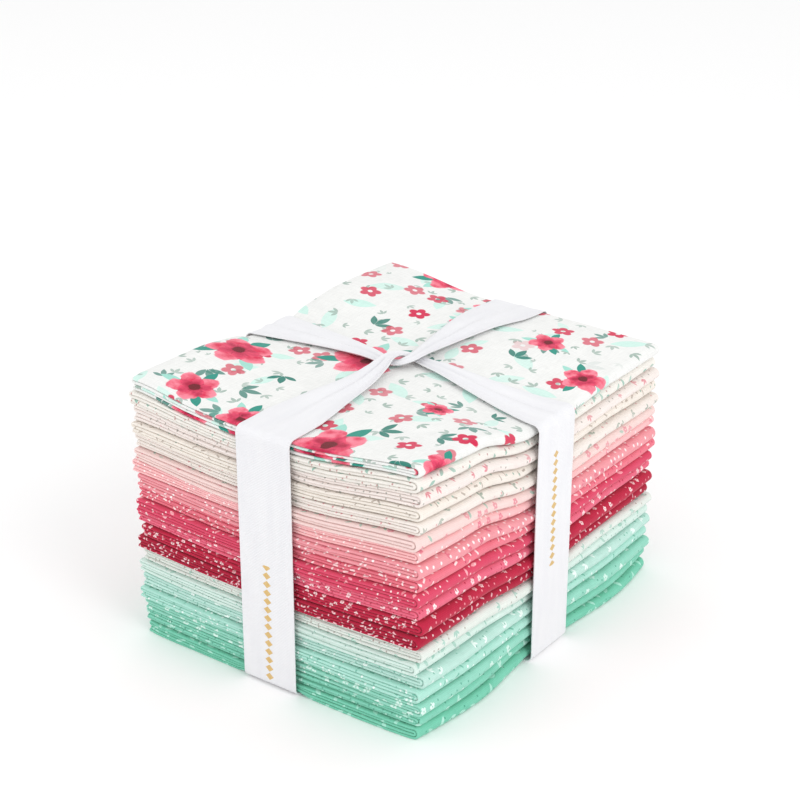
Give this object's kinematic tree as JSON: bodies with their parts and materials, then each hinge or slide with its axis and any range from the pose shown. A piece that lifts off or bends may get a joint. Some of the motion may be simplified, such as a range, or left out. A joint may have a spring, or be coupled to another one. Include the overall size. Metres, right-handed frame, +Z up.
{
  "type": "fat quarter bundle",
  "caption": "Stack of folded printed cotton fat quarters, shading from mint through crimson and pink to cream under a floral top one, tied both ways with a white ribbon drawn together on top.",
  "frame": {"origin": "middle of the base, on the surface that the bundle rests on", "axes": "+Z up; +X towards the closed folds of the quarters; Y along those folds, the longer side"},
  "size_m": [0.119, 0.1446, 0.0918],
  "materials": {
    "cotton_01": "printed quilting cotton, deep mint",
    "cotton_02": "printed quilting cotton, deep mint with pale sprigs",
    "cotton_03": "printed quilting cotton, mint",
    "cotton_04": "printed quilting cotton, light mint",
    "cotton_05": "printed quilting cotton, mint dots",
    "cotton_06": "printed quilting cotton, pale mint",
    "cotton_07": "printed quilting cotton, off-white with mint sprigs",
    "cotton_08": "printed quilting cotton, crimson with white flecks",
    "cotton_09": "printed quilting cotton, crimson with small flowers",
    "cotton_10": "printed quilting cotton, rose with white flowers",
    "cotton_11": "printed quilting cotton, deep rose",
    "cotton_12": "printed quilting cotton, coral pink",
    "cotton_13": "printed quilting cotton, pink with dots",
    "cotton_14": "printed quilting cotton, pale pink",
    "cotton_15": "printed quilting cotton, blush with small flowers",
    "cotton_16": "printed quilting cotton, cream with grey sprigs",
    "cotton_17": "printed quilting cotton, cream with dots",
    "cotton_18": "printed quilting cotton, cream with pink sprigs",
    "cotton_19": "printed quilting cotton, off-white with small leaves",
    "cotton_20": "printed quilting cotton, white with coral flowers and teal leaves",
    "ribbon_white": "woven satin ribbon, white"
  },
  "bodies": {
    "root": {"fat_quarter_01": "cotton_01", "fat_quarter_02": "cotton_02", "fat_quarter_03": "cotton_03", "fat_quarter_04": "cotton_04", "fat_quarter_05": "cotton_05", "fat_quarter_06": "cotton_06", "fat_quarter_07": "cotton_07", "fat_quarter_08": "cotton_08", "fat_quarter_09": "cotton_09", "fat_quarter_10": "cotton_10", "fat_quarter_11": "cotton_11", "fat_quarter_12": "cotton_12", "fat_quarter_13": "cotton_13", "fat_quarter_14": "cotton_14", "fat_quarter_15": "cotton_15", "fat_quarter_16": "cotton_16", "fat_quarter_17": "cotton_17", "fat_quarter_18": "cotton_18", "fat_quarter_19": "cotton_19", "fat_quarter_20": "cotton_20", "ribbon": "ribbon_white"}
  },
  "joints": []
}
